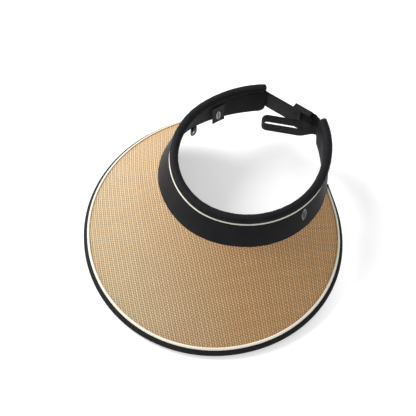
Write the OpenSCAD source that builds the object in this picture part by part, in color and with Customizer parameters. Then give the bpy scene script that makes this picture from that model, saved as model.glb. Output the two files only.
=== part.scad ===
// Wide-brim sun visor: a flexible padded head ring, a woven brim sewn to its front half,
// and an adjustable strap closure across the open back.
// +Y points to the back of the head, +X to the wearer's left, +Z up, millimetres.
// The brim's front edge and sides rest on z = 0.

/* [Head ring] */
// Half the length of the head opening, front to back
half_l = 89; // [85:0.5:95]
// Half the width of the head opening
half_w = 78; // [74:0.5:84]
// How much wider the front half of the ring is, as a share of the width
egg = 0.07; // [0:0.01:0.1]
// Fullness of the ring outline: 2 is an ellipse
fullness = 1.9; // [1.8:0.05:2.2]
// Backward lean of the ring, in degrees
lean = 6; // [3:0.5:9]
// Height of the wall below the rim at the front
wall_front = 25; // [22:0.5:30]
// Height of the wall below the rim at the back
wall_back = 31.5; // [30:0.5:36]
// Outward flare of the wall at the front
flare_front = 16; // [8:0.5:20]
// Angle from the front at which the ring ends, each side
ring_end = 155; // [150:1:158]
// Angle from the front at which the wings flex, each side
wing_at = 126; // [122:1:132]

/* [Band layers] */
// Thickness of the outer cloth
cloth_t = 1.1; // [0.8:0.1:1.4]
// Thickness of the plastic stiffener
stiffener_t = 0.8; // [0.5:0.1:1]
// Thickness of the foam
foam_t = 2.9; // [2.4:0.1:3.2]
// Thickness of the sweatband
sweat_t = 1.2; // [0.8:0.1:1.6]
// Half the width of the padded rim roll
roll_half_w = 4.6; // [4:0.1:5.2]
// Half the height of the padded rim roll
roll_half_h = 3.3; // [2.8:0.1:3.8]
// Diameter of the piping cord, and height of the piping on the brim
piping_d = 1.7; // [1.4:0.1:2.2]

/* [Brim] */
// Width of the brim at the front
brim_w = 117; // [100:1:130]
// Angle from the front at which the brim's ends meet the wall, each side
brim_end = 113; // [108:0.5:116]
// Downward slope of the brim at the front, in degrees
slope_front = 28.7; // [24:0.1:32]
// Extra slope at the brim's ends, in degrees
slope_more = 22; // [10:1:26]
// Thickness of the woven face
straw_t = 1.3; // [1:0.1:1.8]
// Thickness of the stiff interlining
inter_t = 0.6; // [0.4:0.1:0.9]
// Thickness of the cloth under the brim
under_t = 0.5; // [0.4:0.1:0.8]
// Width of the edge binding
binding_w = 5.8; // [5:0.1:8]
// Width of the flattened piping beside the binding
brim_piping_w = 3; // [2:0.1:3.4]
// Diameter of the wire in the brim's edge
wire_d = 1.4; // [1:0.1:1.6]

/* [Back closure] */
// Width of the back strap
strap_w = 25; // [23:0.5:25]
// Thickness of the back strap
strap_t = 1.2; // [1:0.1:1.4]
// Height of the strap's centre line below the rim
strap_drop = 16.5; // [16:0.1:17]
// Length of the slider along the strap
slider_l = 21; // [19:0.5:22]
// Length of the pull loop
loop_l = 58; // [50:1:60]
// Width of the pull loop's tape
loop_tape_w = 12; // [10:0.5:14]
// Overall width of the pull loop across its two legs
loop_gap = 12.4; // [9:0.1:15]

/* [Trim] */
// Width of the size label
label_w = 15; // [12:0.5:16]
// Height of the size label
label_h = 22; // [18:0.5:24]
// Radius of the hole in each cord eye
eye_r = 2; // [1.8:0.1:2.3]
// Angle from the front of the two cord eyes
eye_at = 93; // [90:1:98]
// Angle from the front of the badge
badge_at = 71; // [65:1:78]

/* [Hidden] */
gap = 0.1;              // space left between neighbouring layers
flare_back = -1;        // flare of the wall at the back
change_a = 32;          // the wall keeps its front shape up to this angle
change_b = 150;         // and has its back shape from this angle on
roll_out = -1.7;        // the rim roll's centre, measured outward from the rim line
piping_share = 0.15;    // how far down the wall the piping lies
piping_drop = 4.2;      // the piping's centre below the rim line
lining_drop = 3.6;      // top of the layers that end under the rim roll
flex_gap = 1.5;         // opening between the front part and each wing
step_a = 4;             // angle between the sections of a band layer
brim_steps = 56;        // sections along the brim
width_power = 1.96;     // two powers that shape the brim's width from the front to its ends
width_fall = 1.31;
brim_reach = 0.96;      // share of brim_end that the brim's layers cover
piping_reach = 0.92;    // the same for the piping beside the binding
tape_t = 0.7;           // thickness of the binding and hem tapes
strap_y = 73.5;         // middle of the strap's thickness, in the ring's frame
pivot_x = 34.2;         // strap pivots at the wing ends
pivot_y = 74.2;
strap_end_x = 24.5;     // free end of the back strap
loop_turn = 25;         // the pull loop turns in from the strap by this angle
loop_t = 1;             // thickness of the pull loop's tape
loop_open = 18;         // the loop's legs are fully apart at this distance from its root
slider_x = 1;           // right-hand end of the slider
strap_gap = 0.2;        // play between the straps and the slider
bar_t = 1.6;            // thickness of the slider's bars and of the cord eyes
bar_w = 3.5;            // width of the slider's middle bar and of the bar that the anchor strap holds
eye_in = 5.5;           // the cord eyes hang this far inside the wall's face
eye_drop = 3.2;         // and their bars this far below the hem
label_at = -113.5;      // angle from the front of the label
label_drop = 10;        // top of the label below the rim line
label_in = 1;           // the label hangs this far inside the sweatband
stiffener_a = 3.5;      // the wings' stiffener ends at this angle before the ring's ends
root_a = 4.5;           // and their foam at this angle
hem_in = 0.5;           // the front hem starts this far inside the foam's outer face
tape_share = 0.8;       // the seam tape reaches up the wall to this share of its height
$fn = 48;

out_stiff = -cloth_t - gap;
out_foam = out_stiff - stiffener_t - gap;
out_sweat = out_foam - foam_t - gap;
out_inside = out_sweat - sweat_t;
under_top = -straw_t - inter_t - 2 * gap;
brim_t = straw_t + inter_t + under_t + 2 * gap;
flex_a = flex_gap / 2 / half_l * 180 / PI;
strap_z = -strap_drop;
tape_in = tape_t + gap;

function ease(a, b, x) = let (t = min(1, max(0, (x - a) / (b - a)))) t * t * (3 - 2 * t);
function front_to_back(f, b, a) = f + (b - f) * ease(change_a, change_b, abs(a));
function flare(a) = front_to_back(flare_front, flare_back, a);
function wall_h(a) = front_to_back(wall_front, wall_back, a);
function ring_r(a, out) =
    let (w = half_w * (1 + egg * cos(a)) + out, l = half_l + out)
    pow(pow(abs(sin(a)) / w, fullness) + pow(abs(cos(a)) / l, fullness), -1 / fullness);

// A point of the ring at angle a from the front, out mm outside the rim line and z above it
function ring_point(a, out, z) = [ring_r(a, out) * sin(a), -ring_r(a, out) * cos(a), z];

// A point of the wall, t being 0 at the rim and 1 at the bottom seam
function wall_point(a, t, out, dz = 0) = ring_point(a, flare(a) * t + out, dz - wall_h(a) * t);

// The same place with the ring leaned back
function lean_back(p) = [p.x, p.y * cos(lean) + p.z * sin(lean), p.z * cos(lean) - p.y * sin(lean)];

// A point on the rim roll's skin
function rim_point(a, c) = ring_point(a, roll_out + roll_half_w * cos(c), roll_half_h * sin(c));

// The brim's edge: u runs from -1 at one end over 0 at the front to 1 at the other end
function seam(a) = lean_back(wall_point(a, 1, 0));
function seam_normal(a) = let (d = seam(a + 0.5) - seam(a - 0.5), n = [d.y, -d.x, 0]) n / norm(n);
function brim_width(u) = brim_w * pow(max(0, 1 - pow(abs(u), width_power)), width_fall);
function slope(u) = slope_front + slope_more * u * u;

// Directions outward along the brim's slope and up from its face
function brim_out(u) = seam_normal(u * brim_end) * cos(slope(u)) - [0, 0, sin(slope(u))];
function brim_up(u) = seam_normal(u * brim_end) * sin(slope(u)) + [0, 0, cos(slope(u))];

// A point w mm out along the brim's slope and d mm above its face
function brim_point(u, w, d) = seam(u * brim_end) + w * brim_out(u) + d * brim_up(u);

function spread(a, b, n) = [for (i = [0 : n]) a + (b - a) * i / n];
function angles(a, b) = spread(a, b, max(2, ceil((b - a) / step_a)));

// Closed solid through a row of outlines with equal numbers of points
module loft(rings)
{
    n = len(rings[0]);
    m = len(rings);
    half = floor(n / 2);
    start_cap = [for (i = [0 : half - 2])
        each [[i, n - 2 - i, n - 1 - i], [i, i + 1, n - 2 - i]]];
    end_cap = [for (f = start_cap) [for (k = [2, 1, 0]) f[k] + (m - 1) * n]];
    sides = [for (j = [0 : m - 2], i = [0 : n - 1])
        let (k = (i + 1) % n, a = j * n + i, b = j * n + k, c = a + n, d = b + n)
        each i < half ? [[a, d, b], [a, c, d]] : [[a, c, b], [b, c, d]]];
    polyhedron(points = [for (r = rings) each r], faces = concat(start_cap, end_cap, sides));
}

// Layer of the band between angles a0 and a1, from drop mm below the rim to share t1 of the wall
module layer(a0, a1, drop, t1, outer, thick)
{
    in_place() loft([for (a = angles(a0, a1)) let (t0 = drop / wall_h(a)) [
        wall_point(a, t0, outer), wall_point(a, t1, outer),
        wall_point(a, t1, outer - thick), wall_point(a, t0, outer - thick)]]);
}

// Layer of the brim from the wall out to the brim's edge less the margin
module brim_layer(top, thick, margin)
{
    slide_to_origin() loft([for (u = spread(-brim_reach, brim_reach, brim_steps))
        let (w = brim_width(u) - margin) [
        brim_point(u, 0.3, top), brim_point(u, w / 2, top), brim_point(u, w, top),
        brim_point(u, w, top - thick), brim_point(u, w / 2, top - thick),
        brim_point(u, 0.3, top - thick)]]);
}

// Cord of diameter d along a row of [centre, outward, up] places
module cord_along(places, d, sides = 8)
{
    loft([for (p = places) [for (i = [sides - 1 : -1 : 0])
        let (c = 360 * (i + 0.5) / sides)
        p[0] + d / 2 * (p[1] * cos(c) + p[2] * sin(c))]]);
}

// Stands the visor on z = 0 with the middle of its length at y = 0
edge_low = brim_t + gap + tape_t;
lift = -min([for (u = spread(0, brim_reach, brim_steps)) brim_point(u, brim_width(u), -edge_low).z]);
front_y = brim_point(0, brim_w, tape_in).y;
back_y = lean_back(rim_point(ring_end, 15)).y;
module slide_to_origin() { translate([0, -(front_y + back_y) / 2, lift]) children(); }

// Parts drawn in the upright ring's own frame
module in_place() { slide_to_origin() rotate([-lean, 0, 0]) children(); }

// Heading of the ring's outward normal at angle a
function heading(a) = let (d = ring_point(a + 0.5, 0, 0) - ring_point(a - 0.5, 0, 0)) atan2(d.y, d.x);

// Places a part drawn upright against the ring: its -Y side looks outward at angle a
module on_ring(a, out, z) { in_place() translate(ring_point(a, out, z)) rotate(heading(a)) children(); }

// ---- Brim ----

// The brim's layers stop short of its edge, to leave room for the wire and the fold of the binding
margin = tape_in + wire_d + 0.5;

module brim_straw() { color("burlywood") brim_layer(0, straw_t, margin); }

module brim_interlining() { color("white") brim_layer(-straw_t - gap, inter_t, margin); }

module brim_underlining() { color("dimgray") brim_layer(under_top, under_t, margin); }

// Spring wire inside the binding, just beyond the edges of the layers
module brim_edge_wire()
{
    color("silver") slide_to_origin()
    cord_along([for (u = spread(-brim_reach, brim_reach, brim_steps))
        let (w = brim_width(u) - tape_in - wire_d / 2 - gap)
        [brim_point(u, w, -brim_t / 2), brim_out(u), brim_up(u)]], wire_d, 6);
}

// Tape folded round the brim's edge
module brim_binding()
{
    color("#17171a") slide_to_origin()
    loft([for (u = spread(-brim_reach, brim_reach, brim_steps))
        let (w1 = brim_width(u), w0 = max(0.9, w1 - binding_w), low = -brim_t - gap) [
        brim_point(u, w0, tape_in), brim_point(u, w1, tape_in),
        brim_point(u, w1, low - tape_t), brim_point(u, w0, low - tape_t),
        brim_point(u, w0, low), brim_point(u, w1 - tape_t, low),
        brim_point(u, w1 - tape_t, gap), brim_point(u, w0, gap)]]);
}

module brim_piping()
{
    color("ivory") slide_to_origin()
    cord_along([for (u = spread(-piping_reach, piping_reach, brim_steps))
        let (w = brim_width(u) - binding_w - gap - brim_piping_w / 2)
        [brim_point(u, w, gap + piping_d / 2), brim_piping_w / piping_d * brim_out(u), brim_up(u)]], piping_d);
}

// Tape behind the seam that joins the brim to the wall: one leg up the wall, one out under the brim
module seam_tape()
{
    top = -brim_t - gap;
    low = top - 0.5;
    leg = 7;
    inner = out_stiff - stiffener_t;
    color("#1c1c20") slide_to_origin()
    loft([for (u = spread(-brim_reach, brim_reach, brim_steps))
        let (a = u * brim_end, w = min(leg, max(0.4, brim_width(u) - binding_w - 0.5))) [
        lean_back(wall_point(a, tape_share, out_stiff)), lean_back(wall_point(a, 1, out_stiff)),
        brim_point(u, 0, top), brim_point(u, w, top), brim_point(u, w, low), brim_point(u, -0.9, low),
        lean_back(wall_point(a, 1, inner)), lean_back(wall_point(a, tape_share, inner))]]);
}

// ---- Band: the same layers in the front part and in the two wings ----

// Angles where each stretch of the band starts and ends: 0 is the front, -1 and 1 are the wings
function from_a(side) = side == 0 ? flex_a - wing_at : side < 0 ? -ring_end : wing_at + flex_a;
function to_a(side) = -from_a(-side);

module wall(side)
{
    color("#1d1d22") layer(from_a(side), to_a(side), piping_drop + piping_d / 2 + gap, 1, 0, cloth_t);
}

// The stiffener stops short of the wings' rounded ends
module stiffener(side)
{
    from = max(from_a(side), stiffener_a - ring_end);
    to = min(to_a(side), ring_end - stiffener_a);
    low = side == 0 ? tape_share - 0.02 : 0.95;
    color("gray") layer(from, to, lining_drop, low, out_stiff, stiffener_t);
}

// The wings' foam stops short of their ends, where the strap's root lies
module foam(side)
{
    from = max(from_a(side), root_a - ring_end);
    to = min(to_a(side), ring_end - root_a);
    color("gainsboro") layer(from, to, lining_drop, 0.97, out_foam, foam_t);
}

module sweatband(side)
{
    color("#141417") layer(from_a(side), to_a(side), lining_drop, 1, out_sweat, sweat_t);
}

// Padded roll along the top edge
module rim(side)
{
    sides = 12;
    color("#202026") in_place() loft([for (a = angles(from_a(side), to_a(side)))
        [for (i = [sides - 1 : -1 : 0]) rim_point(a, 360 * (i + 0.5) / sides)]]);
}

// Tape that closes the bottom edge of the lining layers
module hem(side)
{
    color("#17171a") in_place() loft([for (a = angles(from_a(side), to_a(side)))
        let (o = side == 0 ? out_foam - hem_in : 0) [
        wall_point(a, 1, o, -gap), wall_point(a, 1, o, -gap - tape_t),
        wall_point(a, 1, out_inside, -gap - tape_t), wall_point(a, 1, out_inside, -gap)]]);
}

module wall_front() { wall(0); }
module stiffener_front() { stiffener(0); }
module foam_front() { foam(0); }
module sweatband_front() { sweatband(0); }
module rim_front() { rim(0); }
module hem_front() { hem(0); }
module wall_right() { wall(-1); }
module stiffener_right() { stiffener(-1); }
module foam_right() { foam(-1); }
module sweatband_right() { sweatband(-1); }
module rim_right() { rim(-1); }
module hem_right() { hem(-1); }
module wall_left() { wall(1); }
module stiffener_left() { stiffener(1); }
module foam_left() { foam(1); }
module sweatband_left() { sweatband(1); }
module rim_left() { rim(1); }
module hem_left() { hem(1); }

// Piping between the wall cloth and the rim roll
module band_piping()
{
    color("ivory") in_place()
    cord_along([for (a = angles(from_a(0), to_a(0)))
        [ring_point(a, flare(a) * piping_share + 0.35, -piping_drop),
        [sin(a), -cos(a), 0], [0, 0, 1]]], piping_d);
}

// ---- Trim ----

// Small metal leaf on the wall, beside the brim
module leaf_badge()
{
    half_long = 6.5;
    arc_r = 8.5;
    share = 0.45;
    vein_w = 0.8;
    color("silver") on_ring(badge_at, flare(badge_at) * share + 0.2, -wall_h(badge_at) * share)
    rotate([-atan2(flare(badge_at), wall_h(badge_at)), 0, 0])
    rotate([0, 25, 0]) rotate([90, 0, 0]) {
        linear_extrude(0.9) difference() {
            leaf_outline(half_long, arc_r);
            leaf_outline(half_long - 2.2, arc_r - 1.4);
        }
        translate([-vein_w / 2, 1 - half_long, 0]) cube([vein_w, 2 * half_long - 2, 0.7]);
    }
}

// Pointed oval between two arcs
module leaf_outline(half_long, arc_r)
{
    in = sqrt(arc_r * arc_r - half_long * half_long);
    intersection() {
        translate([-in, 0]) circle(arc_r);
        translate([in, 0]) circle(arc_r);
    }
}

// The label hangs from a header strip sewn to the sweatband
module label_at_top()
{
    t = label_drop / wall_h(label_at);
    on_ring(label_at, flare(label_at) * t + out_inside - label_in, -label_drop) children();
}

module label_header()
{
    color("#101012") label_at_top() translate([-label_w / 2, 0, 0.2]) cube([label_w, 0.7, 3]);
}

// Flat plate with a rounded top edge, which the label turns about
module size_label()
{
    edge_r = 0.3;
    color("#0e0e10") label_at_top() {
        translate([-label_w / 2, 0, -label_h]) cube([label_w, 2 * edge_r, label_h - edge_r]);
        translate([-label_w / 2, edge_r, -edge_r]) rotate([0, 90, 0]) cylinder(r = edge_r, h = label_w);
    }
}

// Places a cord eye's bar under the hem at angle a
module under_hem(a)
{
    on_ring(a, flare(a) - eye_in, -wall_h(a) - gap - tape_t - eye_drop) children();
}

// Ribbon looped round the cord eye's bar and sewn to the hem
module eye_ribbon(a)
{
    inner = bar_t / 2 + 0.2;
    outer = inner + 0.8;
    ribbon_w = 6;
    leg = eye_drop - 0.4;
    color("#131316") under_hem(a) rotate([0, 90, 0]) translate([0, 0, -ribbon_w / 2])
    linear_extrude(ribbon_w) {
        difference() {
            circle(outer);
            circle(inner);
            translate([-outer, -outer]) square([outer, 2 * outer]);
        }
        for (y = [-outer, inner]) translate([-leg, y]) square([leg, outer - inner]);
    }
}

// Plate with a bar for the ribbon and a round hole for a chin cord
module cord_eye(a)
{
    plate_w = 9;
    slot_w = 6.6;
    slot_z = -2.9;
    hole_z = -6.4;
    color("gainsboro") under_hem(a) {
        rotate([90, 0, 0]) translate([0, 0, -bar_t / 2]) linear_extrude(bar_t) difference() {
            union() {
                translate([0, hole_z]) circle(plate_w / 2);
                translate([-plate_w / 2, hole_z]) square([plate_w, -hole_z]);
            }
            translate([-slot_w / 2, slot_z]) square([slot_w, 4]);
            translate([0, hole_z]) circle(eye_r);
        }
        translate([-plate_w / 2, 0, 0]) rotate([0, 90, 0]) cylinder(r = bar_t / 2, h = plate_w);
    }
}

module eye_ribbon_right() { eye_ribbon(-eye_at); }
module eye_ribbon_left() { eye_ribbon(eye_at); }
module cord_eye_right() { cord_eye(-eye_at); }
module cord_eye_left() { cord_eye(eye_at); }

// ---- Back closure ----

// Places a part drawn along the strap: x across the head, y to the back, z from the strap's centre line
module at_strap() { in_place() translate([0, 0, strap_z]) children(); }

// Sewn-in end of a strap, between the layers of a wing's end
module strap_root(side)
{
    a = ring_end - root_a + 0.3;
    low = (strap_drop + strap_w / 2) / wall_back;
    color("#26262b") layer(side < 0 ? -ring_end : a, side < 0 ? -a : ring_end,
        strap_drop - strap_w / 2, low, out_foam - gap, strap_t);
}

module strap_root_right() { strap_root(-1); }
module strap_root_left() { strap_root(1); }

// Long strap from the right wing, straight through the slider
module back_strap()
{
    start = strap_t / 2 - pivot_x;
    color("#26262b") at_strap() translate([start, strap_y - strap_t / 2, -strap_w / 2])
    cube([strap_end_x - start, strap_t, strap_w]);
}

// Folded hem at the strap's free end
module strap_end_hem()
{
    hem_l = 4.5;
    hem_t = 0.8;
    color("#26262b") at_strap()
    translate([strap_end_x - hem_l, strap_y - strap_t / 2 - gap / 2 - hem_t, -strap_w / 2])
    cube([hem_l, hem_t, strap_w]);
}

// Across the closure the strap comes first, then the anchor strap, then the slider's outer bars
anchor_y = strap_y + strap_t / 2 + strap_gap;
bars_y = anchor_y + strap_t + strap_gap;
fold_y = bars_y + bar_t + strap_gap;

// Short strap from the left wing, folded round the slider's end bar and sewn back onto itself
module anchor_strap()
{
    mid_y = anchor_y + strap_t;
    top_y = fold_y + strap_t;
    fold_x = slider_x + slider_l - bar_w - strap_gap;
    join_x = 30.5;
    run = 4;
    rise = top_y - mid_y;
    join_w = strap_t * norm([run, rise]) / rise;
    color("#26262b") at_strap() translate([0, 0, -strap_w / 2]) linear_extrude(strap_w) difference() {
        polygon([[pivot_x, anchor_y], [pivot_x, mid_y], [join_x, mid_y], [join_x - run, top_y],
            [fold_x - strap_t, top_y], [fold_x - strap_t, anchor_y]]);
        polygon([[fold_x, mid_y], [join_x - join_w, mid_y],
            [join_x - join_w - run * (fold_y - mid_y) / rise, fold_y], [fold_x, fold_y]]);
    }
}

// Three-bar slider: the end bars lie behind the strap and the middle bar in front of it
module slider()
{
    rail_h = 2.7;
    first_bar_w = 2.5;
    middle_bar_x = 7;
    front_y = strap_y - strap_t / 2 - strap_gap - bar_t;
    half = strap_w / 2 + 2 * strap_gap;
    color("#0c0c0e") at_strap() {
        for (z = [half, -half - rail_h])
            translate([slider_x, front_y, z]) cube([slider_l, bars_y + bar_t - front_y, rail_h]);
        for (b = [[0, first_bar_w, bars_y], [middle_bar_x, bar_w, front_y], [slider_l - bar_w, bar_w, bars_y]])
            translate([slider_x + b[0], b[2], -half - 1]) cube([b[1], bar_t, 2 * half + 2]);
    }
}

// The pull loop's pivot at the inner corner of the left wing's end
loop_pivot = ring_point(ring_end, out_inside - 1, strap_z);

module loop_root()
{
    color("#202025") layer(ring_end - 5.5, ring_end - 0.3, strap_drop - loop_tape_w / 2,
        (strap_drop + loop_tape_w / 2) / wall_back, out_inside - gap, loop_t);
}

// Half the width of the loop's outline s mm from its root, where its two legs are sewn together
function loop_half(s, in) = loop_t + (loop_gap / 2 - loop_t) * ease(1, loop_open, s) - in;
function loop_outline(start, in) = let (r = loop_gap / 2, far = loop_l - r)
    concat([for (s = spread(start, far, 12)) [s, loop_half(s, in)]],
    [for (c = [75 : -15 : -75]) [far + (r - in) * cos(c), (r - in) * sin(c)]],
    [for (s = spread(far, start, 12)) [s, -loop_half(s, in)]]);

// Loop of narrow tape for pulling the closure tight
module pull_loop()
{
    color("#202025") in_place() translate(loop_pivot) rotate([0, 0, 180 + loop_turn])
    translate([0.5, 0, -loop_tape_w / 2]) linear_extrude(loop_tape_w) difference() {
        polygon(loop_outline(0, 0));
        polygon(loop_outline(5, loop_t));
    }
}

brim_straw();
brim_interlining();
brim_underlining();
brim_edge_wire();
brim_binding();
brim_piping();
seam_tape();
wall_front();
stiffener_front();
foam_front();
sweatband_front();
rim_front();
hem_front();
band_piping();
leaf_badge();
label_header();
size_label();
eye_ribbon_left();
eye_ribbon_right();
cord_eye_left();
cord_eye_right();
wall_right();
stiffener_right();
foam_right();
sweatband_right();
rim_right();
hem_right();
strap_root_right();
back_strap();
strap_end_hem();
wall_left();
stiffener_left();
foam_left();
sweatband_left();
rim_left();
hem_left();
strap_root_left();
anchor_strap();
slider();
loop_root();
pull_loop();
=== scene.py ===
"""A wide-brim woven sun visor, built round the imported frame.

Shapes are worked out in millimetres, first in the upright ring's own frame (z = 0 on the rim line,
-Y to the front) and then leaned back and moved to where the CAD strap says the ring is.
"""
import math

import bmesh
import bpy
import numpy as np
from mathutils import Matrix, Vector, noise


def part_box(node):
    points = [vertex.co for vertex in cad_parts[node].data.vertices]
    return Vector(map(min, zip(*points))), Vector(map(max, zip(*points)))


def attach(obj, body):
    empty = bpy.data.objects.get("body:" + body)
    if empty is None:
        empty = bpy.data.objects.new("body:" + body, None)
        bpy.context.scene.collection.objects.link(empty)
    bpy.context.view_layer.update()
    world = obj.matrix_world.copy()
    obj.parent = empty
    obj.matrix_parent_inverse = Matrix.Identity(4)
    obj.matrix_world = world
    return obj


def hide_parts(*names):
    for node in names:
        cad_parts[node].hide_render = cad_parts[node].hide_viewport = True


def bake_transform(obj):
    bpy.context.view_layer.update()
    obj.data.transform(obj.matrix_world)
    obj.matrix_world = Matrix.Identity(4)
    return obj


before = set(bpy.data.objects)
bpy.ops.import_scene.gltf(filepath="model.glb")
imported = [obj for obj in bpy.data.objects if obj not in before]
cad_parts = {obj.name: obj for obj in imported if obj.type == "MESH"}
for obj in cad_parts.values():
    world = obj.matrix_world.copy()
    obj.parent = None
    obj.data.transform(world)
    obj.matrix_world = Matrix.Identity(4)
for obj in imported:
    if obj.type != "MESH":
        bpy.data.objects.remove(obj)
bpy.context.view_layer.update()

MM = 0.001

# ---- Driving sizes, in millimetres and degrees, as the CAD has them but for those marked ----

HALF_L, HALF_W, EGG, FULLNESS = 89, 78, 0.07, 1.9
LEAN = 6
WALL_FRONT, WALL_BACK = 25, 31.5
FLARE_FRONT, FLARE_BACK = 16, -1
CHANGE_A, CHANGE_B = 32, 150
RING_END, WING_AT = 155, 126
CLOTH_T, SWEAT_T = 1.1, 1.2
OUT_SWEAT = -5.1
OUT_INSIDE = OUT_SWEAT - SWEAT_T
ROLL_OUT, ROLL_HALF_W, ROLL_HALF_H = -1.7, 4.6, 3.3
PIPING_D, PIPING_SHARE, PIPING_DROP = 1.7, 0.15, 4.2
LINING_DROP = 3.6

BRIM_W, BRIM_END = 117, 113
SLOPE_FRONT, SLOPE_MORE = 28.7, 22
WIDTH_POWER, WIDTH_FALL = 1.96, 1.31
STRAW_T, UNDER_T = 1.3, 0.5
UNDER_TOP = -2.1
BRIM_T = 2.6
BINDING_W, BRIM_PIPING_W = 5.8, 3
LAYER_MARGIN = 2.7
BRIM_REACH = 0.96
BINDING_REACH = 0.975   # the look's own: the binding tucks in under the band past the other layers

STRAP_W, STRAP_T, STRAP_DROP = 25, 1.2, 16.5
STRAP_Y, STRAP_END_X = 73.5, 24.5
SLIDER_X, SLIDER_L, BAR_T, BAR_W = 1, 21, 1.6, 3.5
STRAP_GAP = 0.2
LOOP_L, LOOP_TAPE_W, LOOP_GAP, LOOP_T = 58, 12, 12.4, 1
LOOP_OPEN, LOOP_TURN = 18, 25

LABEL_W, LABEL_H, LABEL_AT, LABEL_DROP, LABEL_IN = 15, 22, -113.5, 10, 1
LABEL_T = 0.36          # the look's own
EYE_R, EYE_AT, EYE_IN, EYE_DROP = 2, 93, 5.5, 3.2
BADGE_AT = 71

SPLIT_AT = 117          # the look's own: the band's cloth is cut here, between the front part and the wings
FLEX = 5                # the look's own: an angle each side of the wing hinge
TAPE_STEP = 0.26        # the look's own: sections along a tape, close enough for its ribs


# ---- Shape of the ring and of the brim ----

def sin(a):
    return math.sin(math.radians(a))


def cos(a):
    return math.cos(math.radians(a))


def ease(a, b, x):
    t = min(1, max(0, (x - a) / (b - a)))
    return t * t * (3 - 2 * t)


def bell(x, middle, width):
    return math.exp(-((x - middle) / width) ** 2)


def front_to_back(front, back, a):
    return front + (back - front) * ease(CHANGE_A, CHANGE_B, abs(a))


def flare(a):
    return front_to_back(FLARE_FRONT, FLARE_BACK, a)


def wall_h(a):
    return front_to_back(WALL_FRONT, WALL_BACK, a)


def ring_r(a, out):
    w = HALF_W * (1 + EGG * cos(a)) + out
    l = HALF_L + out
    return ((abs(sin(a)) / w) ** FULLNESS + (abs(cos(a)) / l) ** FULLNESS) ** (-1 / FULLNESS)


def ring_point(a, out, z):
    """A point at angle a from the front, out mm outside the rim line and z above it."""
    r = ring_r(a, out)
    return Vector((r * sin(a), -r * cos(a), z))


def band_point(a, drop, out):
    """A point drop mm below the rim, out mm outside the wall's face."""
    return ring_point(a, flare(a) * drop / wall_h(a) + out, -drop)


def lean_back(p):
    return Vector((p.x, p.y * cos(LEAN) + p.z * sin(LEAN), p.z * cos(LEAN) - p.y * sin(LEAN)))


def ring_shift():
    """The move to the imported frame, where the back strap's box is centred on its centre line."""
    low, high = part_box("back_strap")
    middle = (low + high) / 2 / MM
    shift = middle - lean_back(Vector((middle.x, STRAP_Y, -STRAP_DROP)))
    return Vector((0, shift.y, shift.z))


SHIFT = ring_shift()


def placed(p):
    """A point of the upright ring's frame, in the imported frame."""
    return lean_back(Vector(p)) + SHIFT


def heading(a):
    d = ring_point(a + 0.5, 0, 0) - ring_point(a - 0.5, 0, 0)
    return math.degrees(math.atan2(d.y, d.x))


def on_ring(a, out, z):
    """A matrix that places a part drawn upright against the ring: its -Y side looks outward at angle a."""
    turn = Matrix.Rotation(math.radians(heading(a)), 4, "Z")
    lean = Matrix.Rotation(math.radians(-LEAN), 4, "X")
    return Matrix.Translation(SHIFT) @ lean @ Matrix.Translation(ring_point(a, out, z)) @ turn


def seam(a):
    return lean_back(band_point(a, wall_h(a), 0))


def seam_normal(a):
    d = seam(a + 0.5) - seam(a - 0.5)
    return Vector((d.y, -d.x, 0)).normalized()


def brim_width(u):
    return BRIM_W * max(0, 1 - abs(u) ** WIDTH_POWER) ** WIDTH_FALL


class BrimSection:
    """The brim's cross-section at u, which runs from -1 at one end over 0 at the front to 1."""

    def __init__(self, u):
        slope = SLOPE_FRONT + SLOPE_MORE * u * u
        self.angle = u * BRIM_END
        self.width = brim_width(u)
        self.normal = seam_normal(self.angle)
        self.seam = seam(self.angle)
        self.out = self.normal * cos(slope) - Vector((0, 0, sin(slope)))
        self.up = self.normal * sin(slope) + Vector((0, 0, cos(slope)))

    def point(self, w, d):
        """A point w mm out along the slope and d mm above the face."""
        return self.seam + w * self.out + d * self.up + SHIFT

    def flat(self, w):
        """The same place on the woven cloth before it was shaped, near enough."""
        return self.seam + w * self.normal


def spread(a, b, n):
    return [a + (b - a) * i / n for i in range(n + 1)]


# ---- Mesh making ----

def link(name, data):
    """A new object in the scene."""
    made = bpy.data.objects.new(name, data)
    bpy.context.scene.collection.objects.link(made)
    return made


def applied(holder):
    """An object's mesh with its modifiers or bevel applied. The object itself goes."""
    mesh = bpy.data.meshes.new_from_object(holder.evaluated_get(bpy.context.evaluated_depsgraph_get()))
    bpy.data.objects.remove(holder)
    return mesh


def cleaned(mesh, sharp, weld=0.0):
    """Joins points closer than weld metres, turns faces outward and shades smooth up to sharp degrees."""
    shape = bmesh.new()
    shape.from_mesh(mesh)
    if weld:
        bmesh.ops.remove_doubles(shape, verts=shape.verts, dist=weld)
    bmesh.ops.recalc_face_normals(shape, faces=shape.faces)
    shape.to_mesh(mesh)
    shape.free()
    mesh.shade_smooth()
    mesh.set_sharp_from_angle(angle=math.radians(sharp))
    return mesh


def finish_mesh(name, points, faces, cloth, sharp):
    """A mesh in metres from points in millimetres. cloth holds each point's place on its cloth, in mm."""
    mesh = bpy.data.meshes.new(name)
    mesh.from_pydata([tuple(Vector(p) * MM) for p in points], [], faces)
    attribute = mesh.attributes.new("cloth", "FLOAT_VECTOR", "POINT")
    attribute.data.foreach_set("vector", np.array(cloth, np.float32).ravel())
    return cleaned(mesh, sharp)


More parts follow.
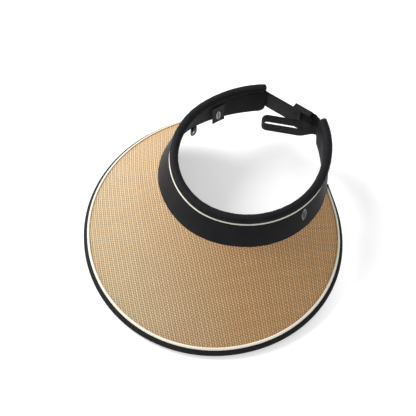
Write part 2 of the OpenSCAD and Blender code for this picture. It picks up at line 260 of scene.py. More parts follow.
def loft(name, rings, cloth=None, sharp=40):
    """A closed solid through a row of outlines. Without cloth, each point's place on the cloth is
    measured along the row and round the outline."""
    n, m = len(rings[0]), len(rings)
    if cloth is None:
        cloth = []
        along = 0
        for j, ring in enumerate(rings):
            if j:
                along += sum((p - q).length for p, q in zip(ring, rings[j - 1])) / n
            across = 0
            for i, p in enumerate(ring):
                across += (p - ring[i - 1]).length if i else 0
                cloth.append((along, across, 0))
    faces = [(j * n + i, j * n + (i + 1) % n, (j + 1) * n + (i + 1) % n, (j + 1) * n + i)
             for j in range(m - 1) for i in range(n)]
    for base in (0, (m - 1) * n):
        faces += [(base + i, base + i + 1, base + n - 2 - i, base + n - 1 - i) for i in range(n // 2 - 1)]
    return finish_mesh(name, [p for ring in rings for p in ring], faces, cloth, sharp)


def rounded_ends(rings, bulge):
    """Adds shrinking outlines past both ends of a row, so that it closes in rounded ends."""
    middles = [sum(ring, Vector()) / len(ring) for ring in (rings[0], rings[1], rings[-2], rings[-1])]
    row = list(rings)
    for c in (25, 50, 70, 85):
        for ring, middle, inner in ((rings[0], middles[0], middles[1]), (rings[-1], middles[3], middles[2])):
            along = (middle - inner).normalized() * bulge * sin(c)
            shrunk = [middle + (p - middle) * cos(c) + along for p in ring]
            row = [shrunk] + row if ring is rings[0] else row + [shrunk]
    return row


def tube(name, path, outs, ups, half_widths, half_heights):
    """A cord with an elliptical section along path, with its half sizes at each point."""
    sides = 16
    rings = []
    for centre, out, up, w, h in zip(path, outs, ups, half_widths, half_heights):
        rings.append([centre + out * w * cos(360 * i / sides) + up * h * sin(360 * i / sides)
                      for i in range(sides)])
    return loft(name, rounded_ends(rings, 0.5), sharp=60)


def smooth_path(points, step):
    """Evenly spaced points, about step apart, on a curve through points."""
    points = [Vector(p) for p in points]
    ends = [2 * points[0] - points[1], *points, 2 * points[-1] - points[-2]]
    fine = []
    for p0, p1, p2, p3 in zip(ends, ends[1:], ends[2:], ends[3:]):
        for i in range(24):
            t = i / 24
            fine.append(0.5 * (2 * p1 + (p2 - p0) * t + (2 * p0 - 5 * p1 + 4 * p2 - p3) * t * t
                               + (3 * p1 - p0 - 3 * p2 + p3) * t ** 3))
    fine.append(points[-1])
    return evenly(fine, step)


def evenly(line, step):
    """Points on a polyline at equal distances, about step apart."""
    lengths = [0]
    for p, q in zip(line, line[1:]):
        lengths.append(lengths[-1] + (q - p).length)
    count = max(1, round(lengths[-1] / step))
    made, k = [], 0
    for i in range(count + 1):
        want = lengths[-1] * i / count
        while k < len(line) - 2 and lengths[k + 1] < want:
            k += 1
        share = (want - lengths[k]) / max(1e-9, lengths[k + 1] - lengths[k])
        made.append(line[k].lerp(line[k + 1], share))
    return made


def tangents(path):
    return [(path[min(i + 1, len(path) - 1)] - path[max(i - 1, 0)]).normalized() for i in range(len(path))]


def ribbon(name, path, up, width, thick, rib=0.0, rib_pitch=1.3, columns=40):
    """A flat woven tape on edge along path: its width runs along up. Ribs of height rib cross it."""
    selvedge, faint = 1.2, 0.3      # the ribs are faint over the last stretch before each edge
    half, r = width / 2, thick / 2
    places = spread(-half, half, columns)
    rings, cloth = [], []
    along = 0
    for k, (p, ahead) in enumerate(zip(path, tangents(path))):
        along += (p - path[k - 1]).length if k else 0
        face = ahead.cross(up).normalized()
        ring = []
        for side in (1, -1):
            for across in places[::side]:
                rounding = math.sqrt(max(0, 1 - max(0, (abs(across) - half + r) / r) ** 2))
                lift = rib * math.cos(2 * math.pi * (along / rib_pitch + 0.5 * (side < 0)))
                lift *= 1 if abs(across) < half - selvedge else faint
                ring.append(p + up * across + face * side * (r * max(rounding, 0.15) + lift))
                cloth.append((along, across + (0 if side == 1 else 2 * width), 0))
        rings.append(ring)
    return loft(name, rings, cloth, sharp=50)


def stitches(name, path, normals, length=2.4, gap=0.9, thick=0.45, sunk=0.1):
    """A row of separate stitches lying on path, each a thread that dips into the cloth at both ends."""
    line = evenly(path, 0.25)
    step = (line[1] - line[0]).length
    normals_per_point = len(normals) / len(line)
    count = int((len(line) - 1) * step / (length + gap))
    points, faces, cloth = [], [], []
    sides = 6
    shape = [(0.0, 0.35), (0.12, 0.85), (0.35, 1), (0.65, 1), (0.88, 0.85), (1.0, 0.35)]
    for s in range(count):
        first = s * (length + gap)
        base = len(points)
        for share, size in shape:
            at = (first + length * share) / step
            i = min(len(line) - 2, int(at))
            p = line[i].lerp(line[i + 1], at - i)
            n = normals[min(len(normals) - 1, int(at * normals_per_point))]
            t = (line[i + 1] - line[i]).normalized()
            b = t.cross(n).normalized()
            r = thick / 2 * size
            lift = thick / 2 * size - sunk - (1 - size) * thick
            points += [p + n * (lift + r * sin(60 * k)) + b * r * cos(60 * k) for k in range(sides)]
            cloth += [(length * share, k, s) for k in range(sides)]
        last = len(shape) - 1
        for j in range(last):
            faces += [(base + j * sides + k, base + j * sides + (k + 1) % sides,
                       base + (j + 1) * sides + (k + 1) % sides, base + (j + 1) * sides + k)
                      for k in range(sides)]
        faces.append(tuple(base + k for k in range(sides)))
        faces.append(tuple(base + last * sides + k for k in reversed(range(sides))))
    return finish_mesh(name, points, faces, cloth, sharp=80)


def plate(name, outlines, thick, bevel, matrix):
    """A flat plate with rounded edges and holes, drawn in XY about its middle plane and then placed."""
    curve = bpy.data.curves.new(name, "CURVE")
    curve.dimensions = "2D"
    curve.fill_mode = "BOTH"
    curve.extrude = max(thick / 2 - bevel, 0.001)
    curve.bevel_depth = bevel
    curve.bevel_resolution = 3
    curve.offset = -bevel
    for outline in outlines:
        spline = curve.splines.new("POLY")
        spline.points.add(len(outline) - 1)
        for point, (x, y) in zip(spline.points, outline):
            point.co = (x, y, 0, 1)
        spline.use_cyclic_u = True
    mesh = applied(link(name, curve))
    mesh.name = name
    mesh.transform(Matrix.Scale(MM, 4) @ matrix)
    return cleaned(mesh, 35, weld=0.00001)


def add_piece(name, mesh, material, body=None, replaced=()):
    piece = link(name, mesh)
    mesh.materials.clear()
    mesh.materials.append(material)
    if body:
        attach(piece, body)
    if replaced:
        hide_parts(*replaced)
    return piece


def sew(name, path, normals, slot, body, **thread):
    """A row of black stitches as a piece of its own."""
    add_piece(name, stitches(name, path, normals, **thread), BLACK_THREAD, body)


# ---- Materials ----

class Look:
    """A material in the making, with short calls for its nodes."""

    def __init__(self, name, color=(0.5, 0.5, 0.5), roughness=0.6, metallic=0.0, sheen=0.0, shine=0.5):
        self.material = bpy.data.materials.new(name)
        self.material.use_nodes = True
        self.tree = self.material.node_tree
        self.shader = self.tree.nodes["Principled BSDF"]
        self.shader.inputs["Base Color"].default_value = (*color, 1)
        self.shader.inputs["Roughness"].default_value = roughness
        self.shader.inputs["Metallic"].default_value = metallic
        self.shader.inputs["Sheen Weight"].default_value = sheen
        self.shader.inputs["Sheen Roughness"].default_value = 0.35
        self.shader.inputs["Specular IOR Level"].default_value = shine

    def add(self, kind, inputs=None, **settings):
        node = self.tree.nodes.new("ShaderNode" + kind)
        for key, value in settings.items():
            setattr(node, key, value)
        for key, value in (inputs or {}).items():
            self.put(node.inputs[key], value)
        return node

    def put(self, socket, value):
        if isinstance(value, bpy.types.NodeSocket):
            self.tree.links.new(value, socket)
        else:
            socket.default_value = value

    def math(self, operation, a, b=0.0, c=0.0):
        return self.add("Math", {0: a, 1: b, 2: c}, operation=operation).outputs[0]

    def cloth(self):
        """The place on the cloth in millimetres: (vector, x along, y across)."""
        vector = self.add("Attribute", attribute_name="cloth").outputs["Vector"]
        parts = self.add("SeparateXYZ", {0: vector})
        return vector, parts.outputs[0], parts.outputs[1]

    def place(self):
        """The place in the object in millimetres."""
        vector = self.add("TexCoord").outputs["Object"]
        return self.add("VectorMath", {0: vector, "Scale": 1000.0}, operation="SCALE").outputs[0]

    def noise(self, vector, size, detail=2.0, stretch=(1, 1, 1)):
        """Noise from 0 to 1 with features about size mm across."""
        scale = tuple(s / size for s in stretch)
        vector = self.add("VectorMath", {0: vector, 1: scale}, operation="MULTIPLY").outputs[0]
        return self.add("TexNoise", {"Vector": vector, "Scale": 1.0, "Detail": detail}).outputs["Fac"]

    def blend(self, share, a, b):
        node = self.add("Mix", data_type="RGBA")
        self.put(node.inputs["Factor"], share)
        for socket, value in ((node.inputs[6], a), (node.inputs[7], b)):
            self.put(socket, (*value, 1) if isinstance(value, tuple) else value)
        return node.outputs[2]

    def remap(self, value, low, high, to_low, to_high):
        return self.add("MapRange", {0: value, 1: low, 2: high, 3: to_low, 4: to_high}).outputs[0]

    def finish(self, color=None, roughness=None, height=None, depth=0.1, strength=1.0):
        """Links what changes over the surface. height is from 0 to 1, and depth its size in millimetres."""
        if color is not None:
            self.put(self.shader.inputs["Base Color"], color)
        if roughness is not None:
            self.put(self.shader.inputs["Roughness"], roughness)
        if height is not None:
            bump = self.add("Bump", {"Strength": strength, "Distance": depth * MM, "Height": height})
            self.put(self.shader.inputs["Normal"], bump.outputs[0])
        return self.material


def straw_look():
    """Paper strands woven over and under pairs of warp strands, with a painted highlight that pales them
    towards the wearer's right, the side the key lamp lights, and painted shade in the gaps between strands.
    """
    look = Look("woven_straw", roughness=0.6, shine=0.3)
    vector, x, y = look.cloth()
    pair_pitch, strand_pitch = 2.6, 1.3
    wander = look.noise(vector, 18)
    cells = []
    for value, pitch in ((x, pair_pitch), (y, strand_pitch)):
        shifted = look.math("MULTIPLY_ADD", wander, 1.2, value)
        cells.append(look.math("DIVIDE", shifted, pitch))
    i, j = (look.math("FLOOR", c) for c in cells)
    fx, fy = (look.math("FRACT", c) for c in cells)
    over = look.math("LESS_THAN", look.math("FLOORED_MODULO", look.math("ADD", i, j), 2.0), 0.5)

    def strand_height(across, along):
        """A rounded strand that arches over the ones it crosses."""
        edge = look.math("ABSOLUTE", look.math("MULTIPLY_ADD", across, 2.0, -1.0))
        rounded = look.math("SUBTRACT", 1.0, look.math("POWER", edge, 3.0))
        arch = look.math("SINE", look.math("MULTIPLY", along, math.pi))
        return look.math("MULTIPLY", look.math("MULTIPLY_ADD", rounded, 0.6, 0.4),
                         look.math("POWER", arch, 0.6))

    def chosen(a, b):
        return look.math("MULTIPLY_ADD", over, look.math("SUBTRACT", a, b), b)

    warp_cell = look.math("MULTIPLY", cells[0], 2.0)
    warp = look.math("MULTIPLY", strand_height(look.math("FRACT", warp_cell), fy), 0.8)
    height = chosen(strand_height(fy, fx), warp)
    warp_numbers = 411.0        # far from the weft's, so that a warp strand has a shade of its own
    number = chosen(j, look.math("ADD", look.math("FLOOR", warp_cell), warp_numbers))
    tint = look.add("TexWhiteNoise", {"W": number}, noise_dimensions="1D").outputs["Value"]
    fibres = look.noise(vector, 0.5, 3.0)
    patches = look.noise(vector, 26, 3.0)
    # painted highlight: the straw is painted paler towards the wearer's right, where the key lamp falls
    lit_side_highlight = look.remap(x, -150.0, -40.0, 1.0, 0.0)
    body = look.blend(tint, (0.90, 0.46, 0.18), (1.0, 0.62, 0.28))
    body = look.blend(look.math("MULTIPLY", lit_side_highlight, 0.6), body, (1.0, 0.90, 0.62))
    body = look.blend(look.remap(fibres, 0.35, 0.7, 0.0, 0.35), body, (1.0, 0.75, 0.42))
    body = look.blend(look.remap(patches, 0.35, 0.7, 0.0, 0.15), body, (0.70, 0.44, 0.22))
    bands = look.math("MULTIPLY", look.math("FLOORED_MODULO", i, 2.0), 0.22)
    body = look.blend(bands, body, (0.45, 0.25, 0.10))
    # painted shade: the low places between and under the strands are painted near black
    gap_shade = look.remap(height, 0.23, 0.88, 1.0, 0.0)
    color = look.blend(gap_shade, body, (0.05, 0.022, 0.008))
    rough = look.remap(fibres, 0.3, 0.7, 0.45, 0.7)
    return look.finish(color, rough, height, depth=0.35, strength=0.9)


def knit_look(name, color, roughness=0.62, sheen=0.25, wale=0.7, bumps=0.6):
    """Fine knitted cloth: rows of small loops, with faint lint and shade changes."""
    look = Look(name, color, roughness, sheen=sheen, shine=0.15)
    vector, x, y = look.cloth()
    rows = look.math("SINE", look.math("MULTIPLY", x, 2 * math.pi / wale))
    loops = look.math("SINE", look.math("MULTIPLY_ADD", y, 2 * math.pi / wale,
                                        look.math("MULTIPLY", rows, 0.8)))
    grain = look.noise(vector, 0.6, 3.0)
    height = look.math("MULTIPLY_ADD", look.math("ADD", rows, loops), 0.2, grain)
    shade = look.noise(vector, 18, 3.0)
    lighter = tuple(min(1, 1.7 * c + 0.004) for c in color)
    tone = look.blend(look.remap(shade, 0.3, 0.75, 0.0, 0.6), color, lighter)
    tone = look.blend(look.remap(grain, 0.5, 0.8, 0.0, 0.5), tone, lighter)
    rough = look.remap(grain, 0.3, 0.7, roughness - 0.07, roughness + 0.1)
    return look.finish(tone, rough, height, depth=0.09, strength=bumps)


def ribbed_look(name, color, rib=1.0, roughness=0.6, depth=0.12, sheen=0.15):
    """Ribbed tape: cross ribs of woven thread, broken up by the warp."""
    look = Look(name, color, roughness, sheen=sheen, shine=0.2)
    vector, x, y = look.cloth()
    ribs = look.math("ABSOLUTE", look.math("SINE", look.math("MULTIPLY", x, math.pi / rib)))
    warp = look.math("ABSOLUTE", look.math("SINE", look.math(
        "MULTIPLY_ADD", y, math.pi / (0.55 * rib), look.math("MULTIPLY", look.math("FLOOR", look.math(
            "DIVIDE", x, rib)), math.pi / 2))))
    grain = look.noise(vector, 0.5, 3.0)
    height = look.math("MULTIPLY_ADD", warp, 0.35, look.math("MULTIPLY_ADD", grain, 0.25, ribs))
    lighter = tuple(min(1, 2.4 * c + 0.008) for c in color)
    # painted highlight and shade: the tops of the ribs are painted lighter than the grooves between them
    tone = look.blend(look.remap(height, 0.5, 1.4, 0.0, 0.75), color, lighter)
    tone = look.blend(look.remap(look.noise(vector, 14, 2.0), 0.35, 0.75, 0.0, 0.4), tone, lighter)
    rough = look.remap(grain, 0.3, 0.7, roughness - 0.1, roughness + 0.12)
    return look.finish(tone, rough, height, depth=depth, strength=0.9)


def cotton_look():
    """Cream cotton over a cord, with a slanting weave and a little soiling."""
    look = Look("cream_cotton", (0.85, 0.80, 0.69), 0.85, sheen=0.2)
    vector, x, y = look.cloth()
    slant = look.math("MULTIPLY_ADD", y, 1.3, x)
    twist = look.math("ABSOLUTE", look.math("SINE", look.math("MULTIPLY", slant, math.pi / 0.9)))
    grain = look.noise(vector, 0.5, 3.0)
    soil = look.noise(vector, 22, 3.0)
    # painted shade: the grooves between the twisted threads are painted darker
    tone = look.blend(look.remap(twist, 0.0, 0.7, 0.55, 0.0), (0.95, 0.91, 0.80), (0.66, 0.58, 0.44))
    tone = look.blend(look.remap(soil, 0.42, 0.75, 0.0, 0.35), tone, (0.80, 0.72, 0.56))
    height = look.math("MULTIPLY_ADD", grain, 0.4, twist)
    return look.finish(tone, look.remap(grain, 0.3, 0.7, 0.75, 0.92), height, depth=0.12, strength=0.8)


def thread_look(name, color):
    """Twisted sewing thread, each stitch a slightly different shade."""
    look = Look(name, color, 0.5, sheen=0.05, shine=0.25)
    vector, x, y = look.cloth()
    number = look.add("SeparateXYZ", {0: vector}).outputs[2]
    twist = look.math("ABSOLUTE", look.math("SINE", look.math("MULTIPLY_ADD", x, 7.0, y)))
    tint = look.add("TexWhiteNoise", {"W": number}, noise_dimensions="1D").outputs["Value"]
    lighter = tuple(min(1, 2.2 * c + 0.01) for c in color)
    tone = look.blend(look.remap(tint, 0.0, 1.0, 0.0, 0.7), color, lighter)
    return look.finish(tone, look.remap(twist, 0.0, 1.0, 0.42, 0.6), twist, depth=0.05)


def plastic_look():
    """Satin moulded plastic with a fine spark texture and dull scuffs."""
    look = Look("black_plastic", (0.008, 0.008, 0.009), 0.42, shine=0.3)
    place = look.place()
    scuffs = look.noise(place, 5, 4.0, (1, 1, 3))
    grain = look.noise(place, 0.25, 2.0)
    tone = look.blend(look.remap(scuffs, 0.5, 0.75, 0.0, 0.5), (0.006, 0.006, 0.007), (0.022, 0.022, 0.024))
    return look.finish(tone, look.remap(scuffs, 0.35, 0.7, 0.36, 0.56), grain, depth=0.02, strength=0.5)


def metal_look(name, color, roughness, scratches):
    """Plated metal with fine scratches and a little tarnish."""
    look = Look(name, color, roughness, metallic=1.0)
    place = look.place()
    lines = look.noise(place, 0.35, 2.0, (0.08, 1, 1))
    cloud = look.noise(place, 3, 3.0)
    darker = tuple(0.55 * c for c in color)
    tone = look.blend(look.remap(cloud, 0.45, 0.75, 0.0, 0.6), color, darker)
    rough = look.remap(lines, 0.3, 0.7, roughness - 0.06, roughness + scratches)
    return look.finish(tone, rough, lines, depth=0.02, strength=0.5)


def satin_look():
    """Woven black satin: fine lengthwise floats."""
    look = Look("label_satin", (0.006, 0.006, 0.008), 0.4, shine=0.12)
    floats = look.noise(look.cloth()[0], 0.4, 2.0, (1, 0.15, 1))
    tone = look.blend(look.remap(floats, 0.35, 0.7, 0.0, 1.0), (0.005, 0.005, 0.006), (0.013, 0.013, 0.016))
    return look.finish(tone, look.remap(floats, 0.3, 0.7, 0.34, 0.48), floats, depth=0.04)


def filling_look(name, color, size, roughness=0.8, depth=0.2):
    """A hidden filling: foam, plastic strip, buckram or wire."""
    look = Look(name, color, roughness)
    place = look.place()
    cells = look.noise(place, size, 3.0)
    darker = tuple(0.72 * c for c in color)
    tone = look.blend(look.remap(cells, 0.4, 0.65, 0.0, 0.8), color, darker)
    rough = look.remap(cells, 0.3, 0.7, roughness - 0.08, roughness + 0.08)
    return look.finish(tone, rough, cells, depth=depth)


STRAW = straw_look()
WALL_KNIT = knit_look("band_knit", (0.0065, 0.0065, 0.0080), 0.60, 0.14)
RIM_KNIT = knit_look("rim_knit", (0.0055, 0.0055, 0.0070), 0.66, 0.01, 0.6)
LINING_KNIT = knit_look("lining_knit", (0.0045, 0.0045, 0.0055), 0.75, 0.03, 0.9)
UNDER_KNIT = knit_look("under_cloth", (0.010, 0.010, 0.012), 0.7, 0.03, 0.5, bumps=0.2)
BINDING = ribbed_look("binding_grosgrain", (0.0040, 0.0040, 0.0045), 0.8, 0.62, sheen=0.03)
HEM_TAPE = ribbed_look("hem_tape", (0.0045, 0.0045, 0.0050), 0.8, 0.65, sheen=0.03)
WEBBING = ribbed_look("strap_webbing", (0.0045, 0.0045, 0.0050), 1.3, 0.58, 0.16, sheen=0.04)
LOOP_TAPE = ribbed_look("loop_tape", (0.0045, 0.0045, 0.0050), 0.9, 0.62, 0.12, sheen=0.04)
RIBBON = ribbed_look("eye_ribbon", (0.005, 0.005, 0.006), 0.6, 0.55, 0.08, sheen=0.04)
COTTON = cotton_look()
BLACK_THREAD = thread_look("black_thread", (0.005, 0.005, 0.006))
GREY_THREAD = thread_look("grey_thread", (0.42, 0.42, 0.43))
PLASTIC = plastic_look()
NICKEL = metal_look("badge_nickel", (0.22, 0.22, 0.23), 0.34, 0.2)
GUNMETAL = metal_look("eye_gunmetal", (0.10, 0.10, 0.11), 0.28, 0.15)
SATIN = satin_look()


# ---- Brim ----

def brim_sections(reach, count):
    return [BrimSection(u) for u in spread(-reach, reach, count)]


def brim_weave():
    """The woven face, one thin sheet from the wall out under the binding."""
    weave_turn = 46
    rings, cloth = [], []
    for s in brim_sections(BRIM_REACH, 260):
        ws = spread(0.05, max(0.1, s.width - LAYER_MARGIN), 36)
        rings.append([s.point(w, 0) for w in ws] + [s.point(w, -STRAW_T) for w in reversed(ws)])
        for w in ws + ws[::-1]:
            f = s.flat(w)
            cloth.append((f.x * cos(weave_turn) + f.y * sin(weave_turn),
                          f.y * cos(weave_turn) - f.x * sin(weave_turn), 0))
    mesh = loft("brim_weave", rings, cloth)
    add_piece("brim_weave", mesh, STRAW, "root", ["brim_straw"])


def brim_underside():
    """The cloth under the brim, stretched flat against the interlining."""
    rings, cloth = [], []
    area = 0
    before = None
    for s in brim_sections(BRIM_REACH, 200):
        ws = spread(0.3, max(0.4, s.width - LAYER_MARGIN), 20)
        rings.append([s.point(w, UNDER_TOP) for w in ws]
                     + [s.point(w, UNDER_TOP - UNDER_T) for w in reversed(ws)])
        for w in ws + ws[::-1]:
            cloth.append((s.flat(w).x, s.flat(w).y, 0))
        if before:
            area += (s.width + before.width - 2 * LAYER_MARGIN) / 2 * (
                s.point(s.width / 2, 0) - before.point(before.width / 2, 0)).length
        before = s
    mesh = loft("brim_underside", rings, cloth)
    piece = add_piece("brim_underside", mesh, UNDER_KNIT, "root", ["brim_underlining"])


def brim_binding():
    """Tape folded round the brim's edge and its wire, a little puckered by its stitching."""
    lift, clear, sink = 0.85, 0.12, 0.22    # the tape's two faces off the brim, and its stitches' dip
    top, bottom = lift, -BRIM_T - lift
    bulge, middle = 1.5, -BRIM_T / 2
    rings = []
    upper, lower, upper_n, lower_n = [], [], [], []
    for k, s in enumerate(brim_sections(BINDING_REACH, 620)):
        w1 = s.width
        w0 = max(0.9, w1 - BINDING_W)
        pucker = 0.10 * noise.noise(Vector((k * 0.9, 0, 3))) + 0.05 * math.sin(k * 1.9)
        stitch_w = min(w0 + 1.1, (w0 + w1) / 2)
        turn = max(w0 + 0.35, w1 - bulge)

        def face(w, height):
            return height + (pucker - sink * bell(w, stitch_w, 0.5)) * (1 if height > 0 else -1)

        outline = [(w0, clear), (w0, 0.5)]
        outline += [(w, face(w, top)) for w in spread(w0 + 0.25, turn, 9)]
        outline += [(turn + (w1 - turn) * cos(c), middle + (top - middle + pucker) * sin(c))
                    for c in range(75, -76, -15)]
        outline += [(w, face(w, bottom)) for w in spread(turn, w0 + 0.25, 9)]
        outline += [(w0, bottom + 0.35), (w0, -BRIM_T - clear)]
        outline += [(turn, -BRIM_T - clear), (w1 - 0.75, middle), (turn, clear)]
        rings.append([s.point(w, d) for w, d in outline])
        upper.append(s.point(stitch_w, top - sink))
        lower.append(s.point(stitch_w, bottom + sink))
        upper_n.append(s.up)
        lower_n.append(-s.up)
    mesh = loft("brim_binding_tape", rounded_ends(rings, 1.2))
    add_piece("brim_binding_tape", mesh, BINDING, "root", ["brim_binding"])
    sew("binding_stitches_top", upper, upper_n, "binding_tape", "root")
    sew("binding_stitches_under", lower, lower_n, "binding_tape", "root")


def seam_tape():
    """Tape over the seam under the brim: it lies on the underside and turns up behind the wall."""
    top, thick, leg = -2.68, 0.55, 7
    share, outer, inner = 0.82, -1.25, -2.0     # how far up the wall its leg reaches, and the leg's faces
    upright = ((share, outer), (1, outer), (1, inner), (share, inner))
    rings, edge, fold, normals = [], [], [], []
    for k, s in enumerate(brim_sections(BRIM_REACH, 380)):
        a, h = s.angle, wall_h(s.angle)
        w = min(leg, max(0.4, s.width - BINDING_W - 0.5))
        wave = 0.07 * noise.noise(Vector((k * 0.35, 0, 61)))
        low = top - thick - wave
        under = [(0, top), (w, top), (w + 0.12, (top + low) / 2), (w, low)]
        under += [(w * t - 0.9 * (1 - t), low - 0.12 * math.sin(math.pi * t)) for t in spread(0.9, 0, 9)]
        behind = [placed(band_point(a, h * t, out)) for t, out in upright]
        rings.append(behind[:2] + [s.point(x, d) for x, d in under] + behind[2:])
        if w > 3:
            edge.append(s.point(w - 1.1, low - 0.04))
            fold.append(s.point(0.6, low - 0.04))
            normals.append(-s.up)
    mesh = loft("seam_tape_ribbon", rounded_ends(rings, 0.4))
    add_piece("seam_tape_ribbon", mesh, HEM_TAPE, "root", ["seam_tape"])
    sew("seam_tape_stitches_edge", edge, normals, "binding_tape", "root")
    sew("seam_tape_stitches_fold", fold, normals, "binding_tape", "root")


def brim_piping():
    """Cream piping beside the binding. It narrows at both ends and runs in under the band."""
    sections = brim_sections(0.945, 420)
    halves = [max(0.25, min(BRIM_PIPING_W / 2, (s.width - BINDING_W - 0.2) / 2)) for s in sections]
    path = [s.point(max(0.3, s.width - BINDING_W - 0.1 - h), 0.1 + PIPING_D / 2)
            for s, h in zip(sections, halves)]
    heights = [PIPING_D / 2 * min(1, 0.45 + 0.55 * h / (BRIM_PIPING_W / 2)) for h in halves]
    outs = [s.out for s in sections]
    ups = [s.up for s in sections]
    mesh = tube("brim_piping_cord", path, outs, ups, halves, heights)
    add_piece("brim_piping_cord", mesh, COTTON, "root", ["brim_piping"])


# ---- Band ----

END_ROUND = 5           # radius of the wings' lower corners
END_PINCH = 6.5         # the layers close onto the strap over this length of a wing's end


def end_distance(a):
    """How far along the ring angle a lies before the ring's end, in millimetres."""
    return (RING_END - abs(a)) * math.pi / 180 * 82


def pinch(a):
    return 1 - ease(0, END_PINCH, end_distance(a))


def corner_cut(a):
    """How much higher the bottom edge lies near the ring's end, where the corner is rounded."""
    s = min(1, max(0, end_distance(a) / END_ROUND))
    return END_ROUND * (1 - math.sqrt(1 - (1 - s) ** 2))


def crease(a, c, seed, size=1.0):
    """Small folds that run across the roll, in millimetres."""
    wide = noise.noise(Vector((a * 0.30, c * 0.6, seed)))
    fine = noise.noise(Vector((a * 0.95, c * 0.5, seed + 7)))
    return size * (0.22 * wide + 0.13 * fine)


def band_angles(side, step=0.6):
    """Angles of the band's sections for the front (0) and the right (-1) and left (1) wings."""
    if side == 0:
        return spread(-SPLIT_AT, SPLIT_AT, round(2 * SPLIT_AT / step))
    marks = spread(SPLIT_AT, RING_END - 4, round((RING_END - 4 - SPLIT_AT) / step))
    marks += spread(RING_END - 4, RING_END, 20)[1:]
    return [side * a for a in marks]


def wall_outline(a):
    """Outer cloth with a soft swell, turned in under the piping at the top and round the hem below."""
    h = wall_h(a) - corner_cut(a)
    top = PIPING_DROP + 0.25
    shut = pinch(a)
    squeeze = -0.9 * shut
    swell = 0.55 * (1 - shut)
    seam_dip = 0.35
    outer = []
    for t in spread(0, 1, 22):
        drop = top + (h - top) * t
        bow = swell * math.sin(math.pi * t) ** 0.7 if 0 < t < 1 else 0
        dip = seam_dip * bell(h - drop, 2.0, 0.6)
        ripple = crease(a, t * 4, 2.0, 0.45) * bell(t, 0.02, 0.12)
        ripple += crease(a * 1.3, t * 3, 5.0, 0.35) * bell(t, 0.98, 0.10)
        outer.append((drop, bow + ripple - dip + squeeze - 0.5 * bell(drop, top, 0.5)))
    turned = [(h + 0.28, squeeze - 0.25), (h + 0.38, squeeze - 0.65), (h + 0.25, squeeze - CLOTH_T)]
    inner = [(top + (h - top) * t, squeeze - CLOTH_T) for t in spread(1, 0, 8)]
    return outer + turned + inner


def lining_outline(a):
    """Sweatband: a soft inner face that swells a little between its seams."""
    h = wall_h(a) - corner_cut(a)
    top = LINING_DROP - 0.4
    shut = pinch(a)
    back = OUT_SWEAT + 1.6 * shut
    face = back - SWEAT_T
    inner = []
    for t in spread(1, 0, 20):
        drop = top + (h + 0.3 - top) * t
        swell = 0.45 * (1 - shut) * math.sin(math.pi * t) ** 0.6 if 0 < t < 1 else 0
        ripple = crease(a, t * 4, 11.0, 0.5) * (bell(t, 0.04, 0.15) + bell(t, 0.95, 0.12))
        inner.append((drop, face - swell - ripple))
    outer = [(top + (h + 0.3 - top) * t, back) for t in spread(0, 1, 6)]
    return outer + inner


def rim_outline(a):
    """Padded roll: round over the top, straight down to the piping outside and to the lining inside."""
    shut = pinch(a)
    seam_out = flare(a) * PIPING_SHARE + 0.3 - 0.9 * shut
    low = PIPING_DROP - 0.5
    in_out = OUT_INSIDE + 0.15 + 1.5 * shut
    skin = []
    for c in spread(205, -18, 26):
        fold = crease(a, c / 25, 21.0)
        skin.append((-(ROLL_HALF_H + fold) * sin(c), ROLL_OUT + (ROLL_HALF_W + fold) * cos(c)))
    edge = skin[-1]
    for t in (0.3, 0.6, 0.85, 1.0):
        sag = -0.35 * math.sin(math.pi * t)
        fold = crease(a, 8 + t * 2, 21.0, 0.8)
        skin.append((edge[0] + (low - edge[0]) * t, edge[1] + (seam_out - edge[1]) * t + sag + fold))
    closing = [(low + 0.35, seam_out - 0.5), (low + 0.5, (seam_out + in_out) / 2), (low + 0.2, in_out + 0.3)]
    start = [(low - 0.9, in_out - 0.05), (low - 1.9, in_out - 0.12)]
    return start + skin + closing


def rim_rings(angles):
    """The rim's sections, drawn in to a rounded end at the ring's ends."""
    cap, middle_drop, middle_out = 3.4, 0.5, -2.6
    rings = []
    for a in angles:
        s = min(1, max(0.02, end_distance(a) / cap))
        size = math.sqrt(1 - (1 - s) ** 2)
        shaped = [(middle_drop + (d - middle_drop) * size, middle_out + (o - middle_out) * size)
                  for d, o in rim_outline(a)]
        rings.append([placed(ring_point(a, o, -d)) for d, o in shaped])
    return rings


def hem_outline(a):
    """Tape that closes the bottom edge, from the wall's turned edge to the lining."""
    h = wall_h(a) - corner_cut(a)
    shut = pinch(a)
    outer = (-0.3 - 0.9 * shut) if abs(a) > BRIM_END * 0.965 else -2.6
    inner = OUT_INSIDE + 0.1 + 1.6 * shut
    low = [(h + 0.75 + 0.1 * crease(a, o, 31.0, 3), o) for o in spread(outer, inner, 8)]
    return [(h + 0.1, outer), (h + 0.45, outer + 0.1)] + low + [(h + 0.45, inner - 0.1), (h + 0.1, inner)] + [
        (h - 0.1, o) for o in spread(inner, outer, 6)[1:-1]]


def band_rings(angles, outline):
    return [[placed(band_point(a, d, o)) for d, o in outline(a)] for a in angles]


def bend_with_wing(piece, side):
    """Bakes a wing piece's placement into its mesh; the cloth is not bent at the hinge."""
    start, end = (placed(ring_point(side * (WING_AT + d), -2, -15)) * MM for d in (-FLEX, FLEX))
    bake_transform(piece)


def add_band_piece(kind, side, mesh, material, replaced=()):
    """A layer of the band, on the ring's front part or on a wing."""
    place = {0: "front", -1: "right", 1: "left"}[side]
    nodes = [f"{node}_{place}" for node in replaced]
    piece = add_piece(f"{kind}_{place}", mesh, material, None if side else "root", nodes)
    if side:
        bend_with_wing(piece, side)
    return piece


